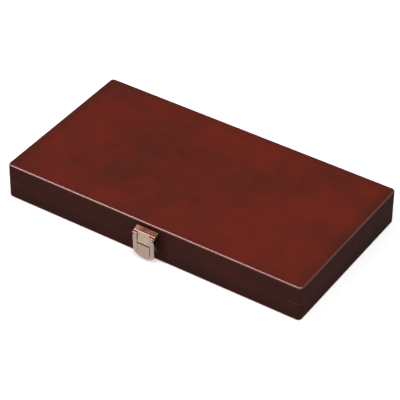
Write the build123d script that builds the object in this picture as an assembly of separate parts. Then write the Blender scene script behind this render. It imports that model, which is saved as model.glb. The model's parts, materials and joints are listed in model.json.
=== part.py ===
from build123d import *

import os
from math import cos, hypot, radians, sin

# A folding backgammon board, closed: two shallow wooden halves hinged along the back and held by
# a draw latch in front, with the playing pieces stored in the trough behind the front rail.
# Millimetres. The origin is the centre of the underside, X along the case, Y from the latch
# to the hinges, Z up.

# Case
case_length = 380.0
case_width = 202.0
half_height = 22.5
parting_gap = 0.2
corner_round = 5.0
face_edge_round = 2.4
rim_edge_round = 0.3
rail_thickness = 9.0
panel_thickness = 3.0

# Playing field and storage trough
field_thickness = 2.0
inlay_thickness = 0.7
points_per_end = 6
point_length = 138.0
point_spacing_gap = 1.2
trough_width = 33.5
divider_thickness = 5.0

# Butt hinges
hinge_spacing = 230.0
hinge_length = 30.0
leaf_thickness = 0.9
leaf_reach = 7.4
barrel_radius = 2.1
barrel_clearance = 0.3
hinge_axis_offset = 0.5
hinge_pin_radius = 0.9
pin_head_radius = 1.5
pin_head_thickness = 0.6
knuckle_gap = 0.2
mortise_clearance = 0.1
hinge_screw_spacing = 19.0

# Fits
seated_fit = 0.02
running_fit = 0.06
loose_gap = 0.1

# Screws
hinge_screw_head_radius = 2.0
hinge_screw_shank_radius = 1.1
hinge_screw_length = 9.0
latch_screw_head_radius = 1.7
latch_screw_shank_radius = 0.9
latch_screw_length = 7.0
screw_tip_length = 1.2
screw_slot_width = 0.5
screw_slot_depth = 0.4

# Draw latch: p is the distance out from the front of the case
latch_width = 27.0
latch_sheet = 0.9
latch_base_low_z = 11.5
latch_base_gap = 0.7
latch_base_corner = 2.0
ear_inset = 0.1
ear_low_z = 13.5
ear_front_p = 4.4
ear_shoulder_z = 29.5
ear_back_p = 1.4
ear_top_z = 32.4
rivet_p = 9.4
rivet_z = 35.0
rivet_radius = 0.9
rivet_head_radius = 1.5
rivet_head_thickness = 0.5
knuckle_radius = 1.65
side_clearance = 0.3

# Latch lever, measured down from its rivets along its own leaning face
lever_sheet = 1.1
lever_lean = 3.2
lever_length = 31.3
lever_side_length = 25.4
lever_shoulder_drop = 2.3
lever_panel_top_drop = 12.45
lever_panel_length = 13.2
lever_panel_raise = 0.5
lever_panel_round = 0.45
lever_edge_round = 0.25
tongue_pin_drop = 10.4
tongue_pin_inset = 0.6
tongue_pin_radius = 0.5
tongue_lug_thickness = 0.9
tongue_lug_radius = 1.0

# Latch tongue and keeper
tongue_width_low = 15.6
tongue_width_top = 15.4
tongue_window_gap = 0.3
tongue_curl_radius = 0.95
tongue_curl_offset = 0.2
tongue_bend_radius = 1.05
hook_lip_gap = 0.3
hook_overhang = 0.3
hook_rest_gap = 0.15
keeper_low_z = 26.0
keeper_top_z = 40.0
keeper_plate_width = 24.0
keeper_width = 27.4
keeper_bend_radius = 0.9
lip_p = 7.6
lip_z = 37.3
lip_radius = 0.75
base_screw_spacing = 16.0
base_screw_z = 16.5
keeper_screw_spacing = 14.0
keeper_screw_z = 31.0

# Playing pieces
checkers_per_side = 15
checker_radius = 11.5
checker_thickness = 6.0
checker_chamfer = 0.8
die_size = 10.0
die_chamfer = 0.9
dice_abreast = 2
doubling_cube_size = 13.0
cup_radius = 15.5
cup_length = 46.0
cup_wall = 2.0
cup_floor = 3.0
cup_rim_chamfer = 0.6
cup_end_gap = 1.0
row_end_gap = 1.0
dice_gap = 0.5

# Places that follow from the sizes above
rim_z = half_height - parting_gap / 2
floor_z = panel_thickness + field_thickness
inner_length = case_length - 2 * rail_thickness
inner_back_y = case_width / 2 - rail_thickness
inner_front_y = -inner_back_y
trough_back_y = inner_front_y + trough_width
field_front_y = trough_back_y + divider_thickness
front_y = -case_width / 2
hinge_y = case_width / 2 + hinge_axis_offset
hinge_places = (-hinge_spacing / 2, hinge_spacing / 2)
window_half = tongue_width_low / 2 + tongue_window_gap
ear_outer_x = latch_width / 2 - ear_inset
ear_inner_x = ear_outer_x - latch_sheet
lean = radians(lever_lean)


def block(x, y, z):
    """A box between two values on each axis."""
    size = Box(x[1] - x[0], y[1] - y[0], z[1] - z[0])
    return Pos((x[0] + x[1]) / 2, (y[0] + y[1]) / 2, (z[0] + z[1]) / 2) * size


def rod(radius, x, y, z):
    """A round bar along X between two values of x."""
    return Pos((x[0] + x[1]) / 2, y, z) * Rot(0, 90, 0) * Cylinder(radius, x[1] - x[0])


def to_upper(shape):
    """The same piece in the other half of the closed case."""
    return mirror(shape, about=Plane.XY.offset(half_height))


def screw(head_radius, head_depth, shank_radius, length, grow=0.0):
    """A countersunk wood screw pointing down from its head at z = 0; grown, it cuts its own hole."""
    outline = Polygon(
        (0, 0),
        (head_radius + grow, 0),
        (shank_radius + grow, -head_depth),
        (shank_radius + grow, screw_tip_length - length),
        (0, -length - grow),
        align=None,
    )
    body = revolve(Plane.XZ * outline, Axis.Z)
    if grow:
        return body
    return body - Box(2 * head_radius, screw_slot_width, 2 * screw_slot_depth)


def hinge_screw(grow=0.0):
    return screw(
        hinge_screw_head_radius, leaf_thickness, hinge_screw_shank_radius, hinge_screw_length, grow
    )


def latch_screw(grow=0.0):
    upright = screw(
        latch_screw_head_radius, latch_sheet, latch_screw_shank_radius, latch_screw_length, grow
    )
    return Rot(90, 0, 0) * upright


# Wooden halves
def half_block():
    """The outer form of one half before it is parted into panel and rails."""
    outline = RectangleRounded(case_length, case_width, corner_round)
    body = extrude(outline, amount=rim_z)
    body = fillet(body.edges().group_by(Axis.Z)[0], face_edge_round)
    return fillet(body.edges().group_by(Axis.Z)[-1], rim_edge_round)


def mitred(side):
    """The plan of one rail, cut at 45 degrees at both ends."""
    outer_x = case_length / 2
    outer_y = case_width / 2
    inner_x = outer_x - rail_thickness
    inner_y = outer_y - rail_thickness
    corners = {
        "front": ((-outer_x, -outer_y), (outer_x, -outer_y), (inner_x, -inner_y), (-inner_x, -inner_y)),
        "back": ((-outer_x, outer_y), (outer_x, outer_y), (inner_x, inner_y), (-inner_x, inner_y)),
        "left": ((-outer_x, -outer_y), (-outer_x, outer_y), (-inner_x, inner_y), (-inner_x, -inner_y)),
        "right": ((outer_x, -outer_y), (outer_x, outer_y), (inner_x, inner_y), (inner_x, -inner_y)),
    }
    return extrude(make_face(Polyline(*corners[side], close=True)), amount=rim_z)


def hinge_screw_places():
    """Where the hinge screws stand on one rim."""
    y = case_width / 2 - leaf_reach / 2 - hinge_axis_offset
    offsets = (-hinge_screw_spacing / 2, hinge_screw_spacing / 2)
    return [(centre + offset, y) for centre in hinge_places for offset in offsets]


def back_rail_cuts():
    """Mortises for the leaves, grooves for the barrels and holes for the screws."""
    cuts = []
    for centre in hinge_places:
        ends = (
            centre - hinge_length / 2 - mortise_clearance,
            centre + hinge_length / 2 + mortise_clearance,
        )
        leaf_y = (case_width / 2 - leaf_reach - mortise_clearance, hinge_y)
        cuts.append(block(ends, leaf_y, (rim_z - leaf_thickness, half_height)))
        pin_room = pin_head_thickness + barrel_clearance
        groove_x = (ends[0] - pin_room, ends[1] + pin_room)
        cuts.append(rod(barrel_radius + barrel_clearance, groove_x, hinge_y, half_height))
    for x, y in hinge_screw_places():
        cuts.append(Pos(x, y, rim_z) * hinge_screw(seated_fit))
    return cuts


def latch_screw_places(spacing, z):
    """A pair of screws through the latch's plates into the front rail."""
    return [Pos(x, front_y - latch_sheet, z) for x in (-spacing / 2, spacing / 2)]


base_screw_places = latch_screw_places(base_screw_spacing, base_screw_z)
keeper_screw_places = latch_screw_places(keeper_screw_spacing, keeper_screw_z)


def point_triangles(parity):
    """Every second point of both ends, as flat triangles with their bases on the side rails."""
    pitch = (inner_back_y - field_front_y) / points_per_end
    half_base = (pitch - point_spacing_gap) / 2
    triangles = []
    for end in (-1, 1):
        base_x = end * inner_length / 2
        tip_x = base_x - end * point_length
        for place in range(points_per_end):
            if (place + (end > 0)) % 2 == parity:
                y = field_front_y + (place + 0.5) * pitch
                corners = ((base_x, y - half_base), (base_x, y + half_base), (tip_x, y))
                inlay = extrude(make_face(Polyline(*corners, close=True)), amount=inlay_thickness)
                triangles.append(Pos(0, 0, floor_z - inlay_thickness) * inlay)
    return triangles


def make_half():
    """One half in the lower position, as named pieces."""
    whole = half_block()
    span_x = (-case_length, case_length)
    span_y = (-case_width, case_width)
    inner_x = (-inner_length / 2, inner_length / 2)
    inner_y = (inner_front_y, inner_back_y)
    pieces = {"outer_panel": whole & block(span_x, span_y, (0, panel_thickness))}
    ring = whole & block(span_x, span_y, (panel_thickness, rim_z))
    ring -= block(inner_x, inner_y, (panel_thickness, rim_z))
    for side in ("front", "back", "left", "right"):
        pieces[side + "_rail"] = ring & mitred(side)
    for cut in back_rail_cuts():
        pieces["back_rail"] -= cut
    board = block(inner_x, inner_y, (panel_thickness, floor_z))
    for inlay in point_triangles(0) + point_triangles(1):
        board -= inlay
    pieces["field_board"] = board
    pieces["divider"] = block(inner_x, (trough_back_y, field_front_y), (floor_z, rim_z))
    return pieces


# Butt hinges
def knuckle_spans(centre):
    """The three lengths of barrel of one hinge, along X."""
    length = (hinge_length - 2 * knuckle_gap) / 3
    start = centre - hinge_length / 2
    starts = [start + number * (length + knuckle_gap) for number in range(3)]
    return [(low, low + length) for low in starts]


def hinge_leaf(centre, own, bore_fit):
    """A leaf on the lower rim with the barrel lengths that its own list names."""
    clear_y = hinge_y - barrel_radius - barrel_clearance
    leaf_z = (rim_z - leaf_thickness, rim_z)
    ends = (centre - hinge_length / 2, centre + hinge_length / 2)
    leaf = block(ends, (case_width / 2 - leaf_reach, clear_y), leaf_z)
    for number in own:
        span = knuckle_spans(centre)[number]
        leaf += block(span, (clear_y, hinge_y - hinge_pin_radius), leaf_z)
        leaf += rod(barrel_radius, span, hinge_y, half_height)
    leaf -= rod(hinge_pin_radius + bore_fit, ends, hinge_y, half_height)
    for x, y in hinge_screw_places():
        if ends[0] < x < ends[1]:
            leaf -= Pos(x, y, rim_z) * hinge_screw(seated_fit)
    return leaf


def hinge_pin(centre):
    """A pin with a small flat head at each end."""
    half = hinge_length / 2
    pin = rod(hinge_pin_radius, (centre - half, centre + half), hinge_y, half_height)
    for end in (-1, 1):
        reach = sorted((centre + end * half, centre + end * (half + pin_head_thickness)))
        pin += rod(pin_head_radius, reach, hinge_y, half_height)
    return pin


# Draw latch
def side_plane(x, p, z, tilt=0.0):
    """A plane seen from the side: its x runs out from the case, its y runs up."""
    return Plane(origin=(x, front_y - p, z), x_dir=(0, -cos(tilt), -sin(tilt)), z_dir=(-1, 0, 0))


def side_slab(sketch, x):
    """A side outline in p and z made solid between two values of x."""
    return extrude(side_plane(x[1], 0, 0) * sketch, amount=x[1] - x[0])


def lever_point(out, up):
    """A point of the lever's own leaning frame, as p and z."""
    return (rivet_p + out * cos(lean) + up * sin(lean), rivet_z - out * sin(lean) + up * cos(lean))


def lever_rod(radius, x, out, up):
    """A round bar along X, placed in the lever's own frame."""
    p, z = lever_point(out, up)
    return rod(radius, x, front_y - p, z)


def both_sides(x):
    """A span of x on the right and its mirror on the left."""
    return (x, (-x[1], -x[0]))


def latch_base():
    """The plate on the lower half, with an ear bent out at each side to carry the lever."""
    base_top_z = rim_z - latch_base_gap
    half = ear_outer_x
    plate = block((-half, half), (front_y - latch_sheet, front_y), (latch_base_low_z, base_top_z))
    low_corners = plate.edges().filter_by(Axis.Y).group_by(Axis.Z)[0]
    plate = fillet(low_corners, latch_base_corner)
    reach_p = rivet_p - ear_front_p
    reach_z = rivet_z - ear_shoulder_z
    distance = hypot(reach_p, reach_z)
    across = (reach_z * knuckle_radius / distance, -reach_p * knuckle_radius / distance)
    ear = Polygon(
        (0, ear_low_z),
        (ear_front_p, ear_low_z),
        (ear_front_p, ear_shoulder_z),
        (rivet_p + across[0], rivet_z + across[1]),
        (rivet_p, rivet_z + knuckle_radius),
        (ear_back_p, ear_top_z),
        (ear_back_p, base_top_z),
        (0, base_top_z),
        align=None,
    )
    outline = ear + Pos(rivet_p, rivet_z) * Circle(knuckle_radius)
    outline -= Pos(rivet_p, rivet_z) * Circle(rivet_radius + seated_fit)
    for span in both_sides((ear_inner_x, ear_outer_x)):
        plate += side_slab(outline, span)
    for place in base_screw_places:
        plate -= place * latch_screw(seated_fit)
    return plate


def latch_rivet(side):
    """A short rivet through one ear and one knuckle of the lever."""
    inner = window_half
    shank = sorted((side * inner, side * ear_outer_x))
    head = sorted((side * ear_outer_x, side * (ear_outer_x + rivet_head_thickness)))
    body = rod(rivet_radius, shank, front_y - rivet_p, rivet_z)
    return body + rod(rivet_head_radius, head, front_y - rivet_p, rivet_z)


def lever_front(out, sketch, thickness):
    """A front outline in x and the lever's own height, made solid outwards."""
    p, z = lever_point(out, 0)
    plane = Plane(origin=(0, front_y - p, z), x_dir=(1, 0, 0), z_dir=(0, -cos(lean), -sin(lean)))
    return extrude(plane * sketch, amount=thickness)


def latch_lever():
    """A pressed plate with two rails, a raised middle, knuckles for the rivets and lugs for the pin."""
    half = latch_width / 2
    back = knuckle_radius - lever_sheet
    top = -lever_shoulder_drop
    low = -lever_side_length
    sides = Polyline((-half, low), (-half, top), (half, top), (half, low))
    bottom = ThreePointArc((half, low), (0, -lever_length), (-half, low))
    face = lever_front(back, make_face(sides + bottom), lever_sheet)
    face = fillet(face.edges().filter_by(GeomType.CIRCLE), lever_edge_round)
    window_height = lever_panel_top_drop - lever_shoulder_drop
    window_y = top - window_height / 2
    window = Pos(0, window_y) * Rectangle(2 * window_half, window_height)
    face -= lever_front(back, window, lever_sheet)
    panel_y = -lever_panel_top_drop - lever_panel_length / 2
    panel = Pos(0, panel_y) * Rectangle(tongue_width_low, lever_panel_length)
    pad = lever_front(knuckle_radius, panel, lever_panel_raise)
    outward = (0, -cos(lean), -sin(lean))
    pad_rim = pad.edges().group_by(Axis((0, 0, 0), outward))[-1]
    face += fillet(pad_rim, lever_panel_round)
    hollow = Rectangle(tongue_width_low - 2 * lever_sheet, lever_panel_length - 2 * lever_sheet)
    face -= lever_front(back, Pos(0, panel_y) * hollow, lever_panel_raise)
    knuckle_x = (window_half, ear_inner_x - side_clearance)
    for span in both_sides(knuckle_x):
        neck = Pos((span[0] + span[1]) / 2, top / 2) * Rectangle(span[1] - span[0], -top)
        face += lever_front(back, neck, lever_sheet)
        face += lever_rod(knuckle_radius, span, 0, 0)
        face -= lever_rod(rivet_radius + running_fit, span, 0, 0)
    lug_x = (window_half, window_half + tongue_lug_thickness)
    for span in both_sides(lug_x):
        face += lever_rod(tongue_lug_radius, span, tongue_pin_inset, -tongue_pin_drop)
        face -= lever_rod(tongue_pin_radius + seated_fit, span, tongue_pin_inset, -tongue_pin_drop)
    return face


def latch_tongue_pin():
    reach = window_half + tongue_lug_thickness
    return lever_rod(tongue_pin_radius, (-reach, reach), tongue_pin_inset, -tongue_pin_drop)


def latch_tongue():
    """A strip curled round its pin, rising to a hook bent in over the keeper's lip."""
    pin_p, pin_z = lever_point(tongue_pin_inset, -tongue_pin_drop)
    start_p = pin_p + tongue_curl_offset
    front_p = lip_p + lip_radius + hook_lip_gap + latch_sheet / 2
    hook_z = lip_z + lip_radius + hook_rest_gap + latch_sheet / 2
    corner_p = start_p + (front_p - start_p) * (hook_z - pin_z) / (lip_z - pin_z)
    route = FilletPolyline(
        (start_p, pin_z), (corner_p, hook_z), (lip_p - hook_overhang, hook_z), radius=tongue_bend_radius
    )
    strip = trace(route, line_width=latch_sheet)
    outline = strip + Pos(pin_p, pin_z) * Circle(tongue_curl_radius)
    outline -= Pos(pin_p, pin_z) * Circle(tongue_pin_radius + running_fit)
    half_low = tongue_width_low / 2
    half_top = tongue_width_top / 2
    body = side_slab(outline, (-half_low, half_low))
    low_z = pin_z - 2 * tongue_curl_radius
    taper_z = pin_z + tongue_curl_radius
    top_z = hook_z + latch_sheet
    front = Polygon(
        (-half_low, low_z), (half_low, low_z), (half_low, taper_z), (half_top, top_z),
        (-half_top, top_z), (-half_low, taper_z),
        align=None,
    )
    return body & extrude(Plane.XZ.offset(case_width / 2) * front, amount=2 * rivet_p)


def latch_keeper():
    """The plate on the upper half, folded out over the latch and rolled into a lip."""
    middle = latch_sheet / 2
    fold_z = keeper_top_z - middle
    route = FilletPolyline((middle, lip_z), (middle, fold_z), (lip_p, lip_z), radius=keeper_bend_radius)
    hood = trace(route, line_width=latch_sheet) + Pos(lip_p, lip_z) * Circle(lip_radius)
    keeper = side_slab(hood, (-keeper_width / 2, keeper_width / 2))
    plate_x = (-keeper_plate_width / 2, keeper_plate_width / 2)
    keeper += block(plate_x, (front_y - latch_sheet, front_y), (keeper_low_z, lip_z))
    for place in keeper_screw_places:
        keeper -= place * latch_screw(seated_fit)
    return keeper


# Playing pieces
trough_x = inner_length / 2
cup_x = trough_x - cup_end_gap - cup_length / 2
row_x = cup_x - cup_length / 2 - row_end_gap
checker_pitch = checker_thickness + loose_gap
checker_y = trough_back_y - loose_gap - checker_radius


def checker_row(side):
    """Checkers standing on edge in the trough, side by side."""
    disc = Cylinder(checker_radius, checker_thickness)
    disc = chamfer(disc.edges().filter_by(GeomType.CIRCLE), checker_chamfer)
    disc = Rot(0, 90, 0) * disc
    z = floor_z + loose_gap + checker_radius
    start = row_x - checker_thickness / 2
    places = [side * (start - number * checker_pitch) for number in range(checkers_per_side)]
    return [Pos(x, checker_y, z) * disc for x in places]


def cube(size, x, back_y):
    """A die with its edges taken off, on the floor of the trough."""
    body = Box(size, size, size)
    body = chamfer(body.edges(), die_chamfer)
    return Pos(x, back_y - size / 2, floor_z + size / 2) * body


def dice(side):
    """Dice side by side across the trough, next to the doubling cube."""
    x = side * (doubling_cube_size / 2 + row_end_gap + die_size / 2)
    back_y = trough_back_y - loose_gap
    return [cube(die_size, x, back_y - n * (die_size + dice_gap)) for n in range(dice_abreast)]


def dice_cup(side):
    """A round cup lying in the end of the trough with its mouth towards the checkers."""
    half = cup_length / 2
    bore = cup_radius - cup_wall
    outer = Cylinder(cup_radius, cup_length)
    outer = chamfer(outer.edges().filter_by(GeomType.CIRCLE), cup_rim_chamfer)
    cup = outer - Pos(0, 0, cup_floor) * Cylinder(bore, cup_length)
    turned = Rot(0, -90, 0) * cup
    if side < 0:
        turned = Rot(0, 90, 0) * cup
    y = trough_back_y - trough_width / 2
    return Pos(side * (trough_x - cup_end_gap - half), y, floor_z + loose_gap + cup_radius) * turned


# Everything by name
nodes = {}
half_pieces = make_half()
even_points = point_triangles(0)
odd_points = point_triangles(1)
for name, piece in half_pieces.items():
    nodes["lower_" + name] = [piece]
    nodes["upper_" + name] = [to_upper(piece)]
nodes["lower_light_points"] = even_points
nodes["lower_dark_points"] = odd_points
nodes["upper_light_points"] = [to_upper(point) for point in odd_points]
nodes["upper_dark_points"] = [to_upper(point) for point in even_points]

for place in base_screw_places:
    nodes["lower_front_rail"][0] -= place * latch_screw(seated_fit)
for place in keeper_screw_places:
    nodes["upper_front_rail"][0] -= place * latch_screw(seated_fit)

for label, centre in zip(("left", "right"), hinge_places):
    nodes[label + "_hinge_lower_leaf"] = [hinge_leaf(centre, (0, 2), seated_fit)]
    nodes[label + "_hinge_upper_leaf"] = [to_upper(hinge_leaf(centre, (1,), running_fit))]
    nodes[label + "_hinge_pin"] = [hinge_pin(centre)]
rim_screws = [Pos(x, y, rim_z) * hinge_screw() for x, y in hinge_screw_places()]
nodes["hinge_screws_lower"] = rim_screws
nodes["hinge_screws_upper"] = [to_upper(one) for one in rim_screws]

nodes["latch_base"] = [latch_base()]
nodes["latch_rivets"] = [latch_rivet(side) for side in (-1, 1)]
nodes["latch_lever"] = [latch_lever()]
nodes["latch_tongue_pin"] = [latch_tongue_pin()]
nodes["latch_tongue"] = [latch_tongue()]
nodes["latch_keeper"] = [latch_keeper()]
nodes["latch_base_screws"] = [place * latch_screw() for place in base_screw_places]
nodes["latch_keeper_screws"] = [place * latch_screw() for place in keeper_screw_places]

nodes["light_checkers"] = checker_row(-1)
nodes["dark_checkers"] = checker_row(1)
nodes["light_dice"] = dice(-1)
nodes["dark_dice"] = dice(1)
nodes["doubling_cube"] = [cube(doubling_cube_size, 0, trough_back_y - loose_gap)]
nodes["left_dice_cup"] = [dice_cup(-1)]
nodes["right_dice_cup"] = [dice_cup(1)]

os.makedirs("parts", exist_ok=True)
for name, pieces in nodes.items():
    solids = [solid for piece in pieces for solid in piece.solids()]
    shape = solids[0] if len(solids) == 1 else Compound(solids)
    export_step(shape, "parts/" + name + ".step")

pin_place = lever_point(tongue_pin_inset, -tongue_pin_drop)
print("lid hinge axis: y", hinge_y, "z", half_height)
print("lever axis: y", front_y - rivet_p, "z", rivet_z)
print("tongue axis: y", round(front_y - pin_place[0], 4), "z", round(pin_place[1], 4))
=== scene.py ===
import json
import math

import bpy
from mathutils import Matrix, Vector


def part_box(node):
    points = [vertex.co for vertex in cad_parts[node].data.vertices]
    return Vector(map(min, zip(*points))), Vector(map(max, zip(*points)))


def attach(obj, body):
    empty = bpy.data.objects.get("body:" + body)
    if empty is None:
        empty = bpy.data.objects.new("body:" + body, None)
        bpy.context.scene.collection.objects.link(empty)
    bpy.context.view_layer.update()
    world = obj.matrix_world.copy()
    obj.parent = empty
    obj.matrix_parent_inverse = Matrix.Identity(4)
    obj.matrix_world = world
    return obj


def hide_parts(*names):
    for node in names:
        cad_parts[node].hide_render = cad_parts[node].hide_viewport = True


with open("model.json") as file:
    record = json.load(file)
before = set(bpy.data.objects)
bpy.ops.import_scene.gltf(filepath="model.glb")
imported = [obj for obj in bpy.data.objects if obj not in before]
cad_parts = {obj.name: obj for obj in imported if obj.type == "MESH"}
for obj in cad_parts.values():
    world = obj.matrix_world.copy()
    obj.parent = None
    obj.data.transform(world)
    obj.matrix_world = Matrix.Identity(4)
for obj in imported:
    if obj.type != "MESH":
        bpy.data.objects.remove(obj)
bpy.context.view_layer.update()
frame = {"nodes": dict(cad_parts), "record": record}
cad_nodes = frame["nodes"]


# Shader nodes
def fill(tree, socket, value):
    """Sets a socket to a value, or joins it to the socket that gives the value."""
    if isinstance(value, bpy.types.NodeSocket):
        tree.links.new(value, socket)
    else:
        socket.default_value = value


def add_node(tree, kind, sockets=None, **settings):
    """A shader node with its settings and its filled sockets."""
    made = tree.nodes.new(kind)
    for name, value in settings.items():
        setattr(made, name, value)
    for name, value in (sockets or {}).items():
        fill(tree, made.inputs[name], value)
    return made


def new_finish(name):
    """A material with its node tree and its shader."""
    material = bpy.data.materials.new(name)
    material.use_nodes = True
    return material, material.node_tree, material.node_tree.nodes["Principled BSDF"]


def object_place(tree, scale=(1, 1, 1)):
    """The place on the object, stretched for a pattern that runs one way."""
    place = add_node(tree, "ShaderNodeTexCoord").outputs["Object"]
    return add_node(tree, "ShaderNodeMapping", {"Vector": place, "Scale": scale}).outputs["Vector"]


def object_axes(tree, kind="Object"):
    """The place on the object, or its surface's direction, as its parts along X, Y and Z."""
    vector = add_node(tree, "ShaderNodeTexCoord").outputs[kind]
    return add_node(tree, "ShaderNodeSeparateXYZ", {"Vector": vector}).outputs


def noise(tree, place, scale, detail=2.0, roughness=0.5, distortion=0.0):
    """Clouds of light and dark, from 0 to 1."""
    sockets = {
        "Vector": place, "Scale": scale, "Detail": detail, "Roughness": roughness, "Distortion": distortion,
    }
    return add_node(tree, "ShaderNodeTexNoise", sockets).outputs["Fac"]


def spread(tree, value, low, high, to_low=0.0, to_high=1.0):
    """A value between low and high, moved to another range and kept inside it."""
    sockets = {"Value": value, "From Min": low, "From Max": high, "To Min": to_low, "To Max": to_high}
    return add_node(tree, "ShaderNodeMapRange", sockets, clamp=True).outputs["Result"]


def blend_colours(tree, amount, first, second, way="MIX"):
    sockets = {0: amount, 6: first, 7: second}
    return add_node(tree, "ShaderNodeMix", sockets, data_type="RGBA", blend_type=way).outputs[2]


def shade(tree, colour, amount):
    """A colour made darker or lighter by a factor."""
    return blend_colours(tree, 1.0, colour, amount, "MULTIPLY")


def arithmetic(tree, operation, first, second=0.0):
    return add_node(tree, "ShaderNodeMath", {0: first, 1: second}, operation=operation).outputs[0]


def distance(tree, value, start=0.0):
    """How far a value is from a start, either way."""
    return arithmetic(tree, "ABSOLUTE", arithmetic(tree, "SUBTRACT", value, start))


def product(tree, first, *others):
    for other in others:
        first = arithmetic(tree, "MULTIPLY", first, other)
    return first


def relief(tree, height, strength, depth, under=None):
    """A fine relief in the surface, laid over another one where one is given."""
    sockets = {"Height": height, "Strength": strength, "Distance": depth}
    if under is not None:
        sockets["Normal"] = under
    return add_node(tree, "ShaderNodeBump", sockets).outputs["Normal"]


def opaque(red, green, blue):
    return (red, green, blue, 1.0)


# Lacquered case
# Each pair of distances in metres says where a change of shade begins and where it is complete
PARTING_HEIGHT = 0.0225
FOOT_SHADE_HEIGHT = 0.018
BORDER_ALONG = (0.174, 0.188)
BORDER_ACROSS = (0.088, 0.099)
OUTER_EDGE = (0.017, 0.019)
PARTING_GLINT_BAND = (0.0012, 0.0007)
GLINT_CORNERS = (0.160, 0.178)


def edge_rounding(tree, slope, from_parting):
    """Where the case's outer edges round over: their lacquer shines there, and their colour carries a
    painted highlight.
    """
    leaving_side = spread(tree, slope, 0.28, 0.50)
    below_top = spread(tree, slope, 0.985, 0.90)
    return product(tree, leaving_side, below_top, spread(tree, from_parting, *OUTER_EDGE))


def panel_painted_shade(tree, spot, clouds):
    """Painted shade: a broad face darkens towards its ends and long edges, unevenly."""
    near_end = spread(tree, distance(tree, spot["X"]), *BORDER_ALONG, 0.0, 0.95)
    near_long_edge = spread(tree, distance(tree, spot["Y"]), *BORDER_ACROSS, 0.0, 0.4)
    border = arithmetic(tree, "MAXIMUM", near_end, near_long_edge)
    return product(tree, border, spread(tree, clouds, 0.35, 0.60, 1.0, 0.6))


def parting_painted_glint(tree, spot, slope, from_parting):
    """Painted highlight: a paler line along the edges at the parting, near the case's corners."""
    edge = product(tree, spread(tree, from_parting, *PARTING_GLINT_BAND), spread(tree, slope, 0.1, 0.4))
    return product(tree, edge, spread(tree, distance(tree, spot["X"]), *GLINT_CORNERS, 0.0, 0.5))


def lacquered_stain(name, grain_scale):
    """Mahogany stain under satin lacquer: cloudy on the broad faces, darker on the narrow sides, with
    painted shade and painted highlights.
    """
    material, tree, shader = new_finish(name)
    place = object_place(tree)
    spot = object_axes(tree)
    slope = distance(tree, object_axes(tree, "Normal")["Z"])
    from_parting = distance(tree, spot["Z"], PARTING_HEIGHT)
    clouds = noise(tree, place, 13.0, 3.0, 0.45, 0.5)
    small_clouds = noise(tree, place, 42.0, 3.0, 0.5, 0.3)
    cloudiness = arithmetic(tree, "ADD", product(tree, clouds, 0.6), product(tree, small_clouds, 0.4))
    cloudiness = spread(tree, cloudiness, 0.33, 0.67)
    grain = noise(tree, object_place(tree, grain_scale), 1.0, 4.0, 0.6, 0.2)

    broad = blend_colours(tree, cloudiness, opaque(0.0735, 0.0158, 0.0094), opaque(0.127, 0.0164, 0.0091))
    # Painted shade towards the ends and long edges of the broad faces.
    broad = blend_colours(tree, panel_painted_shade(tree, spot, clouds), broad, opaque(0.050, 0.0145, 0.0088))
    side = blend_colours(tree, cloudiness, opaque(0.0235, 0.0106, 0.0084), opaque(0.0355, 0.0113, 0.0088))
    # Painted shade: the narrow sides darken towards the floor.
    side = shade(tree, side, spread(tree, spot["Z"], 0.0, FOOT_SHADE_HEIGHT, 0.78, 1.0))
    broadness = spread(tree, slope, 0.35, 0.9)
    stain = blend_colours(tree, broadness, side, broad)
    # Painted highlight: the rounded outer edges are painted paler and pinker, and the same mask gives them
    # their glossy coat.
    edge_gloss_and_painted_highlight = product(tree, edge_rounding(tree, slope, from_parting), 0.85)
    stain = blend_colours(tree, edge_gloss_and_painted_highlight, stain, opaque(0.130, 0.036, 0.030))
    # Painted highlight: a paler line on the edges at the parting, near the corners.
    parting_glint = parting_painted_glint(tree, spot, slope, from_parting)
    stain = blend_colours(tree, parting_glint, stain, opaque(0.120, 0.060, 0.048))
    grained = shade(tree, stain, spread(tree, grain, 0.35, 0.65, 0.955, 1.025))
    fill(tree, shader.inputs["Base Color"], grained)

    fill(tree, shader.inputs["Roughness"], spread(tree, small_clouds, 0.3, 0.7, 0.24, 0.31))
    shader.inputs["IOR"].default_value = 1.02
    film = arithmetic(tree, "MAXIMUM", edge_gloss_and_painted_highlight, spread(tree, broadness, 0.0, 1.0, 0.015, 0.07))
    fill(tree, shader.inputs["Coat Weight"], film)
    shader.inputs["Coat Roughness"].default_value = 0.25
    shader.inputs["Coat IOR"].default_value = 2.0
    pores = relief(tree, grain, 0.02, 0.0001)
    skin = noise(tree, place, 260.0, 2.0, 0.5)
    fill(tree, shader.inputs["Normal"], relief(tree, skin, 0.02, 0.0003, pores))
    return material


# Fields and points
def inlay_veneer(name, dark, light):
    """Satin veneer with growth lines that run along the board."""
    material, tree, shader = new_finish(name)
    lines = noise(tree, object_place(tree, (6.0, 46.0, 46.0)), 1.0, 5.0, 0.62, 1.1)
    fibre = noise(tree, object_place(tree, (30.0, 900.0, 900.0)), 1.0, 2.0, 0.6)
    tone = blend_colours(tree, spread(tree, lines, 0.34, 0.66), dark, light)
    fill(tree, shader.inputs["Base Color"], shade(tree, tone, spread(tree, fibre, 0.3, 0.7, 0.82, 1.08)))
    fill(tree, shader.inputs["Roughness"], spread(tree, lines, 0.3, 0.7, 0.30, 0.42))
    shader.inputs["IOR"].default_value = 1.4
    fill(tree, shader.inputs["Normal"], relief(tree, fibre, 0.08, 0.0001))
    return material


# Latch, hinges and screws
CREASE_INSIDE = (0.00765, 0.00785)
CREASE_OUTSIDE = (0.00845, 0.00825)
CREASE_FOOT = (0.0090, 0.0098)
CREASE_HEAD = (0.0325, 0.0300)
TONGUE_FOOT = (0.0226, 0.0232)
LIP_FRONT = (-0.1080, -0.1087)
PALER_LEFT_END = (-0.0030, -0.0120)


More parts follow.
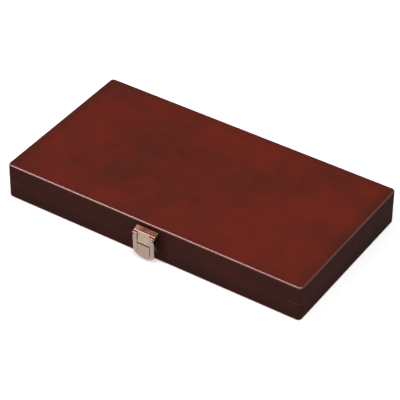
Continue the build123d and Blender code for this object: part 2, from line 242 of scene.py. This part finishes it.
def crease_painted_shade(tree):
    """Painted shade where the lever's raised middle meets its rails: strong beside the panel, faint beside
    the tongue.
    """
    spot = object_axes(tree)
    across = distance(tree, spot["X"])
    crease = product(tree, spread(tree, across, *CREASE_INSIDE), spread(tree, across, *CREASE_OUTSIDE))
    ends = product(tree, spread(tree, spot["Z"], *CREASE_FOOT), spread(tree, spot["Z"], *CREASE_HEAD))
    return product(tree, crease, ends, spread(tree, spot["Z"], *TONGUE_FOOT, 1.0, 0.5))


def lip_painted_highlight(tree):
    """Painted highlight: the keeper's rolled front edge, painted pale."""
    return spread(tree, object_axes(tree)["Y"], *LIP_FRONT)


def paler_left_end(tree):
    """Where the keeper is painted paler, towards its left end."""
    return spread(tree, object_axes(tree)["X"], *PALER_LEFT_END, 0.0, 0.8)


def plated_metal(name, deep, bright, rough_low, rough_high, streaks=(1.0, 1.0), marks=()):
    """Thin plating over pressed sheet: wiping marks, uneven gloss, and marks in their own colours, among
    them painted shade and painted highlights.
    """
    material, tree, shader = new_finish(name)
    uneven = noise(tree, object_place(tree), 160.0, 3.0, 0.55)
    wiped = noise(tree, object_place(tree, (2600.0, 240.0, 240.0)), 1.0, 2.0, 0.6)
    brushed = noise(tree, object_place(tree, (60.0, 1500.0, 1500.0)), 1.0, 2.0, 0.6)
    tone = blend_colours(tree, spread(tree, uneven, 0.3, 0.7), deep, bright)
    tone = shade(tree, tone, spread(tree, brushed, 0.35, 0.65, *streaks))
    for mark, mark_colour in marks:
        tone = blend_colours(tree, mark(tree), tone, mark_colour)
    fill(tree, shader.inputs["Base Color"], tone)
    shader.inputs["Metallic"].default_value = 1.0
    fill(tree, shader.inputs["Roughness"], spread(tree, uneven, 0.3, 0.7, rough_low, rough_high))
    fill(tree, shader.inputs["Normal"], relief(tree, wiped, 0.05, 0.00003))
    return material


# Playing pieces
def waxed_wood(name, dark, light):
    """Turned wood with rings across the face of each piece."""
    material, tree, shader = new_finish(name)
    rings = noise(tree, object_place(tree, (160.0, 24.0, 150.0)), 1.0, 4.0, 0.6, 1.4)
    flecks = noise(tree, object_place(tree, (900.0, 90.0, 900.0)), 1.0, 2.0, 0.6)
    tone = blend_colours(tree, spread(tree, rings, 0.34, 0.66), dark, light)
    toned = shade(tree, tone, spread(tree, flecks, 0.3, 0.7, 0.84, 1.06))
    fill(tree, shader.inputs["Base Color"], toned)
    fill(tree, shader.inputs["Roughness"], spread(tree, flecks, 0.3, 0.7, 0.34, 0.46))
    fill(tree, shader.inputs["Normal"], relief(tree, flecks, 0.08, 0.0001))
    return material


def polished_plastic(name, deep, bright):
    """Cast plastic with a faint swirl, polished."""
    material, tree, shader = new_finish(name)
    swirl = noise(tree, object_place(tree), 120.0, 3.0, 0.5, 1.5)
    tone = blend_colours(tree, spread(tree, swirl, 0.35, 0.65), deep, bright)
    fill(tree, shader.inputs["Base Color"], tone)
    fill(tree, shader.inputs["Roughness"], spread(tree, swirl, 0.3, 0.7, 0.14, 0.22))
    return material


def grained_leather(name, deep, bright):
    """Pebbled leather with creases between its cells."""
    material, tree, shader = new_finish(name)
    place = object_place(tree)
    cell_sockets = {"Vector": place, "Scale": 1100.0}
    cells = add_node(tree, "ShaderNodeTexVoronoi", cell_sockets, feature="DISTANCE_TO_EDGE")
    creases = spread(tree, cells.outputs["Distance"], 0.0, 0.28)
    patches = noise(tree, place, 70.0, 3.0, 0.6)
    tone = blend_colours(tree, spread(tree, patches, 0.3, 0.7), deep, bright)
    toned = shade(tree, tone, spread(tree, creases, 0.0, 1.0, 0.62, 1.0))
    fill(tree, shader.inputs["Base Color"], toned)
    fill(tree, shader.inputs["Roughness"], spread(tree, creases, 0.0, 1.0, 0.62, 0.40))
    fill(tree, shader.inputs["Normal"], relief(tree, creases, 0.35, 0.0002))
    return material


def pip_paint(name, deep, bright):
    """Matt paint in the pips and numbers."""
    material, tree, shader = new_finish(name)
    brushed = noise(tree, object_place(tree), 900.0, 2.0)
    fill(tree, shader.inputs["Base Color"], blend_colours(tree, brushed, deep, bright))
    fill(tree, shader.inputs["Roughness"], spread(tree, brushed, 0.3, 0.7, 0.45, 0.6))
    return material


def napped_felt(name, deep, bright):
    """Short felt that lines the cups."""
    material, tree, shader = new_finish(name)
    nap = noise(tree, object_place(tree), 2400.0, 3.0, 0.7)
    patches = noise(tree, object_place(tree), 120.0, 2.0)
    tone = blend_colours(tree, spread(tree, patches, 0.3, 0.7), deep, bright)
    toned = shade(tree, tone, spread(tree, nap, 0.3, 0.7, 0.7, 1.1))
    fill(tree, shader.inputs["Base Color"], toned)
    shader.inputs["Roughness"].default_value = 0.95
    shader.inputs["Sheen Weight"].default_value = 0.4
    fill(tree, shader.inputs["Normal"], relief(tree, nap, 0.5, 0.0002))
    return material


def waxed_thread(name, deep, bright):
    """Twisted thread, pulled through wax."""
    material, tree, shader = new_finish(name)
    twist = noise(tree, object_place(tree), 4000.0, 2.0)
    tone = blend_colours(tree, spread(tree, twist, 0.3, 0.7), deep, bright)
    fill(tree, shader.inputs["Base Color"], tone)
    shader.inputs["Roughness"].default_value = 0.6
    return material


# Finishes
long_stain = lacquered_stain("mahogany_stain_long_grain", (9.0, 330.0, 330.0))
short_stain = lacquered_stain("mahogany_stain_short_grain", (330.0, 9.0, 330.0))
field_finish = inlay_veneer("field_veneer_finish", opaque(0.20, 0.070, 0.026), opaque(0.34, 0.135, 0.052))
light_finish = inlay_veneer("maple_point_finish", opaque(0.52, 0.33, 0.15), opaque(0.68, 0.47, 0.25))
dark_finish = inlay_veneer("wenge_point_finish", opaque(0.022, 0.010, 0.007), opaque(0.060, 0.026, 0.016))
brass_finish = plated_metal(
    "hinge_brass_finish", opaque(0.62, 0.42, 0.16), opaque(0.80, 0.59, 0.27), 0.20, 0.34
)
screw_finish = plated_metal(
    "screw_brass_finish", opaque(0.52, 0.36, 0.15), opaque(0.70, 0.51, 0.24), 0.28, 0.40
)
latch_finish = plated_metal(
    "latch_plate_finish", opaque(0.316, 0.257, 0.195), opaque(0.364, 0.304, 0.234), 0.28, 0.38
)
# Painted shade: a dark line where the lever's raised middle meets its rails.
lever_finish = plated_metal(
    "lever_plate_finish", opaque(0.268, 0.214, 0.174), opaque(0.312, 0.256, 0.211), 0.28, 0.38,
    marks=((crease_painted_shade, opaque(0.050, 0.022, 0.014)),),
)
# Painted reflection: the keeper's copper-red colour and its strong streaks stand in for the red case
# reflected in its top.
keeper_reflection_finish = plated_metal(
    "keeper_painted_reflection", opaque(0.35, 0.135, 0.081), opaque(0.49, 0.205, 0.131), 0.28, 0.38,
    streaks=(0.66, 1.14),
    marks=((paler_left_end, opaque(0.80, 0.42, 0.27)), (lip_painted_highlight, opaque(0.62, 0.43, 0.32))),
)
# Painted shade: the base plate and its ears get a dark plating colour, standing in for the shadow behind
# the lever.
base_shade_finish = plated_metal(
    "base_plate_painted_shade", opaque(0.12, 0.090, 0.066), opaque(0.17, 0.130, 0.098), 0.34, 0.44
)
light_checker_finish = waxed_wood(
    "maple_checker_finish", opaque(0.50, 0.30, 0.13), opaque(0.70, 0.47, 0.24)
)
dark_checker_finish = waxed_wood(
    "walnut_checker_finish", opaque(0.030, 0.011, 0.006), opaque(0.085, 0.030, 0.014)
)
ivory_finish = polished_plastic("ivory_plastic_finish", opaque(0.72, 0.64, 0.47), opaque(0.80, 0.73, 0.57))
red_finish = polished_plastic("red_plastic_finish", opaque(0.19, 0.008, 0.008), opaque(0.26, 0.014, 0.012))
leather_finish = grained_leather(
    "cup_leather_finish", opaque(0.020, 0.010, 0.007), opaque(0.045, 0.021, 0.013)
)
black_paint = pip_paint("black_pip_paint", opaque(0.012, 0.011, 0.011), opaque(0.022, 0.020, 0.019))
white_paint = pip_paint("white_pip_paint", opaque(0.74, 0.72, 0.66), opaque(0.82, 0.80, 0.75))
felt_finish = napped_felt("cup_felt_lining", opaque(0.10, 0.012, 0.012), opaque(0.14, 0.020, 0.018))
thread_finish = waxed_thread("waxed_thread", opaque(0.30, 0.19, 0.09), opaque(0.42, 0.29, 0.15))

slot_finish = {
    "stained_wood": long_stain,
    "field_veneer": field_finish,
    "light_veneer": light_finish,
    "dark_veneer": dark_finish,
    "hinge_brass": brass_finish,
    "screw_brass": screw_finish,
    "latch_plate": latch_finish,
    "light_checker_wood": light_checker_finish,
    "dark_checker_wood": dark_checker_finish,
    "ivory_plastic": ivory_finish,
    "red_plastic": red_finish,
    "cup_leather": leather_finish,
}
piece_finish = {
    "left_rail": short_stain,
    "right_rail": short_stain,
    "latch_lever": lever_finish,
    "latch_keeper": keeper_reflection_finish,
    "latch_base": base_shade_finish,
}

for entry in frame["record"]["subparts"]:
    node = cad_nodes[entry["node"]]
    finish = slot_finish[entry["material_slot"]]
    for ending, own_finish in piece_finish.items():
        if entry["node"].endswith(ending):
            finish = own_finish
    node.data.materials.clear()
    node.data.materials.append(finish)


# Modelling
def deselect():
    bpy.ops.object.select_all(action="DESELECT")


deselect()


def pick_faces(piece, test):
    """Edit mode with only the faces selected that pass a test on their centre and normal."""
    bpy.ops.object.mode_set(mode="EDIT")
    bpy.ops.mesh.select_all(action="DESELECT")
    bpy.ops.mesh.select_mode(type="FACE")
    bpy.ops.object.mode_set(mode="OBJECT")
    for face in piece.data.polygons:
        face.select = test(face.center, face.normal)
    bpy.ops.object.mode_set(mode="EDIT")


def pick_edges(piece, test):
    """Edit mode with only the edges selected whose two ends pass a test."""
    bpy.ops.object.mode_set(mode="EDIT")
    bpy.ops.mesh.select_all(action="DESELECT")
    bpy.ops.mesh.select_mode(type="EDGE")
    bpy.ops.object.mode_set(mode="OBJECT")
    corners = piece.data.vertices
    for edge in piece.data.edges:
        edge.select = test(corners[edge.vertices[0]].co, corners[edge.vertices[1]].co)
    bpy.ops.object.mode_set(mode="EDIT")


def object_mode():
    bpy.ops.object.mode_set(mode="OBJECT")


def settle(piece, angle=35.0):
    """Puts a piece's place into its mesh and smooths its soft edges."""
    deselect()
    piece.select_set(True)
    bpy.context.view_layer.objects.active = piece
    bpy.ops.object.transform_apply(location=True, rotation=True, scale=True)
    bpy.ops.object.shade_smooth_by_angle(angle=math.radians(angle))


def coat(piece, *finishes):
    piece.data.materials.clear()
    for finish in finishes:
        piece.data.materials.append(finish)


def apply_modifier(piece, kind, **settings):
    deselect()
    piece.select_set(True)
    bpy.context.view_layer.objects.active = piece
    modifier = piece.modifiers.new(kind.lower(), kind)
    for name, value in settings.items():
        setattr(modifier, name, value)
    bpy.ops.object.modifier_apply(modifier=modifier.name)


def copies(pattern, places):
    """Copies of a finished pattern, each with its own mesh, moved by a matrix, and joined to one piece."""
    made = []
    for place in places:
        twin = pattern.copy()
        twin.data = pattern.data.copy()
        twin.data.transform(place)
        bpy.context.scene.collection.objects.link(twin)
        made.append(twin)
    deselect()
    for twin in made:
        twin.select_set(True)
    bpy.context.view_layer.objects.active = made[0]
    if len(made) > 1:
        bpy.ops.object.join()
    return made[0]


def put(piece, name, body, slot, *nodes):
    """Names a finished piece, gives it its body and hides the CAD nodes that it stands for. Its slot is not
    used.
    """
    piece.name = name
    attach(piece, body)
    if nodes:
        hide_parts(*nodes)
    return piece


def centre_of(node):
    low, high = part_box(node)
    return (low + high) / 2


# Checkers
CHECKER_RADIUS = 0.0115
CHECKER_THICKNESS = 0.006
CHECKER_STEP = 0.0061
CHECKERS_IN_ROW = 15
CHECKER_TURN = 37.0


def turned_checker():
    """A turned checker, axis upright: rounded rim, two rings and a finger dish on each face."""
    bpy.ops.mesh.primitive_cylinder_add(
        vertices=56, radius=CHECKER_RADIUS, depth=CHECKER_THICKNESS, end_fill_type="NGON"
    )
    checker = bpy.context.object
    half = CHECKER_THICKNESS / 2
    pick_edges(checker, lambda a, b: abs(a.z - b.z) < half / 10)
    bpy.ops.mesh.bevel(offset=0.0008, segments=3)
    object_mode()
    steps = ((0.0009, 0.0), (0.0003, -0.0004), (0.0003, 0.0004), (0.0011, 0.0), (0.0003, -0.0004),
             (0.0003, 0.0004), (0.0005, 0.0), (0.0016, -0.0004), (0.0018, -0.0002))
    for side in (1, -1):
        pick_faces(checker, lambda centre, normal: normal.z * side > 0.9 and centre.xy.length < half)
        for inward, outward in steps:
            bpy.ops.mesh.inset(thickness=inward)
            bpy.ops.transform.translate(value=(0, 0, side * outward))
        object_mode()
    settle(checker, 28.0)
    return checker


checker = turned_checker()
for colour, side, finish in (("light", -1, light_checker_finish), ("dark", 1, dark_checker_finish)):
    node = colour + "_checkers"
    low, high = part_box(node)
    first = (low.x if side < 0 else high.x) - side * CHECKER_THICKNESS / 2
    middle = (low + high) / 2
    places = []
    for number in range(CHECKERS_IN_ROW):
        spot = Matrix.Translation((first - side * number * CHECKER_STEP, middle.y, middle.z))
        rolled = Matrix.Rotation(math.radians(CHECKER_TURN * number), 4, "X")
        places.append(spot @ rolled @ Matrix.Rotation(math.radians(90), 4, "Y"))
    row = copies(checker, places)
    coat(row, finish)
    put(row, "turned_" + node, "lower_half", colour + "_checker_wood", node)
bpy.data.objects.remove(checker)


# Dice
DIE_SIZE = 0.010
PIP_RADIUS = 0.0011
PIP_REACH = 0.0026
PIP_RISE = 0.0006
pip_rows = {
    1: ((0, 0),),
    2: ((-1, -1), (1, 1)),
    3: ((-1, -1), (0, 0), (1, 1)),
    4: ((-1, -1), (-1, 1), (1, -1), (1, 1)),
    5: ((-1, -1), (-1, 1), (0, 0), (1, -1), (1, 1)),
    6: ((-1, -1), (-1, 0), (-1, 1), (1, -1), (1, 0), (1, 1)),
}
face_turns = {
    1: (0, 0, 0), 6: (180, 0, 0), 2: (90, 0, 0), 5: (-90, 0, 0), 3: (0, 90, 0), 4: (0, -90, 0),
}


def face_matrix(number):
    """Turns what stands on the top face to the face with this number."""
    x, y, z = (math.radians(angle) for angle in face_turns[number])
    return Matrix.Rotation(z, 4, "Z") @ Matrix.Rotation(y, 4, "Y") @ Matrix.Rotation(x, 4, "X")


def drilled_die(body_finish, pip_finish):
    """A die with softened edges and drilled, painted pips."""
    bpy.ops.mesh.primitive_cube_add(size=DIE_SIZE)
    die = bpy.context.object
    coat(die, body_finish, pip_finish)
    apply_modifier(die, "BEVEL", width=0.0009, segments=4)
    bpy.ops.mesh.primitive_uv_sphere_add(segments=20, ring_count=12, radius=PIP_RADIUS)
    drill = bpy.context.object
    spots = []
    for number, rows in pip_rows.items():
        for across, along in rows:
            spot = Vector((across * PIP_REACH, along * PIP_REACH, DIE_SIZE / 2 + PIP_RISE))
            spots.append(face_matrix(number) @ Matrix.Translation(spot))
    drills = copies(drill, spots)
    coat(drills, pip_finish)
    apply_modifier(
        die, "BOOLEAN", operation="DIFFERENCE", object=drills, solver="EXACT", material_mode="TRANSFER"
    )
    bpy.data.objects.remove(drills)
    bpy.data.objects.remove(drill)
    settle(die, 30.0)
    return die


dice_turns = {"light_dice": ((0, 0, 0), (90, 0, 90)), "dark_dice": ((0, 90, 0), (180, 0, 90))}
for node, slot, finish, paint in (
    ("light_dice", "ivory_plastic", ivory_finish, black_paint),
    ("dark_dice", "red_plastic", red_finish, white_paint),
):
    low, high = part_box(node)
    die = drilled_die(finish, paint)
    places = []
    for end, turns in zip((low.y + DIE_SIZE / 2, high.y - DIE_SIZE / 2), dice_turns[node]):
        x, y, z = (math.radians(angle) for angle in turns)
        turned = Matrix.Rotation(z, 4, "Z") @ Matrix.Rotation(y, 4, "Y") @ Matrix.Rotation(x, 4, "X")
        spot = Vector(((low.x + high.x) / 2, end, (low.z + high.z) / 2))
        places.append(Matrix.Translation(spot) @ turned)
    pair = copies(die, places)
    put(pair, "drilled_" + node, "lower_half", slot, node)
    bpy.data.objects.remove(die)


# Doubling cube
CUBE_SIZE = 0.013
NUMBER_HEIGHT = 0.0062
cube_numbers = {1: "64", 2: "2", 3: "4", 4: "8", 5: "16", 6: "32"}


def doubling_cube():
    bpy.ops.mesh.primitive_cube_add(size=CUBE_SIZE)
    body = bpy.context.object
    coat(body, ivory_finish, black_paint)
    apply_modifier(body, "BEVEL", width=0.0009, segments=4)
    numbers = []
    for face, digits in cube_numbers.items():
        bpy.ops.object.text_add()
        number = bpy.context.object
        number.data.body = digits
        number.data.size = NUMBER_HEIGHT
        number.data.align_x = "CENTER"
        number.data.align_y = "CENTER"
        number.data.extrude = 0.00004
        deselect()
        number.select_set(True)
        bpy.context.view_layer.objects.active = number
        bpy.ops.object.convert(target="MESH")
        number = bpy.context.object
        number.data.transform(face_matrix(face) @ Matrix.Translation((0, 0, CUBE_SIZE / 2)))
        coat(number, ivory_finish, black_paint)
        for facet in number.data.polygons:
            facet.material_index = 1
        numbers.append(number)
    settle(body, 30.0)
    deselect()
    for number in numbers:
        number.select_set(True)
    body.select_set(True)
    bpy.context.view_layer.objects.active = body
    bpy.ops.object.join()
    body.data.transform(Matrix.Translation(centre_of("doubling_cube")))
    return body


put(doubling_cube(), "numbered_doubling_cube", "lower_half", "ivory_plastic", "doubling_cube")


# Dice cups
CUP_RADIUS = 0.0155
CUP_LENGTH = 0.046
CUP_WALL = 0.002
CUP_FLOOR = 0.003
BAND_WIDTH = 0.0045
BAND_RISE = 0.0004
STITCHES_ROUND = 44
SEAM_STITCHES = 20
SEAM_SPREAD = 5


def leather_cup():
    """A cup standing on its base: a leather body between two bands, a rolled rim and a felt lining."""
    bpy.ops.mesh.primitive_cylinder_add(vertices=72, radius=CUP_RADIUS - BAND_RISE, depth=CUP_LENGTH)
    cup = bpy.context.object
    coat(cup, leather_finish, felt_finish)
    half = CUP_LENGTH / 2
    for cut in (half - BAND_WIDTH, BAND_WIDTH - half):
        bpy.ops.object.mode_set(mode="EDIT")
        bpy.ops.mesh.select_all(action="SELECT")
        bpy.ops.mesh.bisect(plane_co=(0, 0, cut), plane_no=(0, 0, 1))
        object_mode()
    pick_faces(cup, lambda centre, normal: abs(normal.z) < 0.5 and abs(centre.z) > half - BAND_WIDTH)
    bpy.ops.mesh.extrude_region_shrink_fatten(TRANSFORM_OT_shrink_fatten={"value": BAND_RISE})
    object_mode()
    pick_faces(cup, lambda centre, normal: normal.z > 0.9 and centre.xy.length < CUP_RADIUS / 2)
    bpy.ops.mesh.inset(thickness=CUP_WALL - BAND_RISE)
    bpy.ops.mesh.extrude_region_move(TRANSFORM_OT_translate={"value": (0, 0, CUP_FLOOR - CUP_LENGTH)})
    object_mode()
    bore = CUP_RADIUS - CUP_WALL
    for face in cup.data.polygons:
        inside = face.center.xy.length < bore + CUP_WALL / 8 and face.center.z > CUP_FLOOR / 2 - half
        face.material_index = 1 if inside else 0
    sharp = math.radians(40)
    apply_modifier(cup, "BEVEL", width=0.0005, segments=3, limit_method="ANGLE", angle_limit=sharp)
    settle(cup, 50.0)
    return cup


def stitch():
    """One waxed thread stitch, lying along X on top of the leather."""
    bpy.ops.mesh.primitive_uv_sphere_add(segments=8, ring_count=6, radius=0.0002)
    thread = bpy.context.object
    thread.scale = (3.2, 1.0, 0.8)
    coat(thread, thread_finish)
    settle(thread, 60.0)
    return thread


def cup_stitching(pattern):
    """Two rows of stitches round the bands and one along the side seam, for a cup standing up."""
    places = []
    level = CUP_LENGTH / 2 - BAND_WIDTH / 2
    for height in (level, -level):
        for number in range(STITCHES_ROUND):
            turn = Matrix.Rotation(math.tau * number / STITCHES_ROUND, 4, "Z")
            spot = Matrix.Translation((0, -CUP_RADIUS, height))
            places.append(turn @ spot @ Matrix.Rotation(math.radians(90), 4, "X"))
    seam_length = CUP_LENGTH - 2 * BAND_WIDTH
    for number in range(SEAM_STITCHES):
        height = seam_length * ((number + 0.5) / SEAM_STITCHES - 0.5)
        upright = Matrix.Rotation(math.radians(90), 4, "Y")
        for side in (-1, 1):
            turn = Matrix.Rotation(math.radians(90 + side * SEAM_SPREAD), 4, "Z")
            spot = Matrix.Translation((0, BAND_RISE - CUP_RADIUS, height))
            places.append(turn @ spot @ Matrix.Rotation(math.radians(90), 4, "X") @ upright)
    return copies(pattern, places)


cup = leather_cup()
thread = stitch()
stitching = cup_stitching(thread)
for name, side in (("left", -1), ("right", 1)):
    node = name + "_dice_cup"
    lying = Matrix.Translation(centre_of(node)) @ Matrix.Rotation(math.radians(-90 * side), 4, "Y")
    put(copies(cup, [lying]), "leather_" + node, "lower_half", "cup_leather", node)
    put(copies(stitching, [lying]), name + "_cup_stitching", "lower_half", "cup_leather")
for used in (cup, thread, stitching):
    bpy.data.objects.remove(used)


# Studio
DARK_WALL = (0.70, 0.71, 0.05)
WHITE = (1.0, 1.0, 1.0)
PINKISH = (1.0, 0.64, 0.66)
SOFTBOXES = {
    "overhead_softbox": ((0.95, -0.55, 2.45), (1.9, 1.9), 48.0, WHITE),
    "edge_strip": ((-1.22, -1.40, 1.85), (0.60, 2.2), 40.0, PINKISH),
}
CAMERA_PLACE = (0.91446, -1.42237, 1.34727)
CAMERA_VIEW = (-0.42445, 0.66005, -0.61982)
CAMERA_ROLL = 0.8056
CAMERA_LENS = 174.54


def pale_floor():
    """A pale floor that glows a little, so that shadows on it stay faint."""
    bpy.ops.mesh.primitive_plane_add(size=14.0, location=(0, 0, -0.0002))
    floor = bpy.context.object
    floor.name = "studio_floor"
    material, tree, shader = new_finish("pale_floor")
    tint = noise(tree, object_place(tree), 3.0)
    pale = blend_colours(tree, tint, opaque(0.90, 0.90, 0.90), opaque(0.94, 0.94, 0.94))
    fill(tree, shader.inputs["Base Color"], pale)
    shader.inputs["Roughness"].default_value = 0.9
    shader.inputs["IOR"].default_value = 1.2
    shader.inputs["Emission Color"].default_value = opaque(*WHITE)
    shader.inputs["Emission Strength"].default_value = 0.32
    floor.data.materials.append(material)


def studio_air():
    """Even white light from all round, weaker from the side of the dark wall."""
    world = bpy.data.worlds.new("studio_air")
    bpy.context.scene.world = world
    world.use_nodes = True
    air = world.node_tree
    background = air.nodes["Background"]
    background.inputs["Color"].default_value = opaque(*WHITE)
    direction = add_node(air, "ShaderNodeTexCoord").outputs["Generated"]
    facing = add_node(air, "ShaderNodeVectorMath", {0: direction, 1: DARK_WALL}, operation="DOT_PRODUCT")
    fill(air, background.inputs["Strength"], spread(air, facing.outputs["Value"], 0.0, 0.7, 0.42, 0.06))


def softbox(name, place, size, power, colour):
    """A rectangular lamp that faces the case."""
    lamp = bpy.data.lights.new(name, "AREA")
    lamp.shape = "RECTANGLE"
    lamp.size, lamp.size_y = size
    lamp.energy = power
    lamp.color = colour
    holder = bpy.data.objects.new(name, lamp)
    holder.location = place
    holder.rotation_euler = (-Vector(place)).to_track_quat("-Z", "Y").to_euler()
    bpy.context.scene.collection.objects.link(holder)


def photo_camera():
    """The camera that took the photo, as fitted to the case's outline."""
    camera = bpy.data.cameras.new("photo_camera")
    camera.lens = CAMERA_LENS
    camera.sensor_width = 36.0
    camera.clip_start = 0.05
    camera.clip_end = 50.0
    holder = bpy.data.objects.new("photo_camera", camera)
    level = Vector(CAMERA_VIEW).to_track_quat("-Z", "Y").to_matrix()
    rolled = level @ Matrix.Rotation(math.radians(CAMERA_ROLL), 3, "Z")
    holder.matrix_world = Matrix.Translation(CAMERA_PLACE) @ rolled.to_4x4()
    bpy.context.scene.collection.objects.link(holder)
    bpy.context.scene.camera = holder


pale_floor()
studio_air()
for lamp_name, lamp_settings in SOFTBOXES.items():
    softbox(lamp_name, *lamp_settings)
photo_camera()
bpy.context.scene.view_settings.view_transform = "Standard"
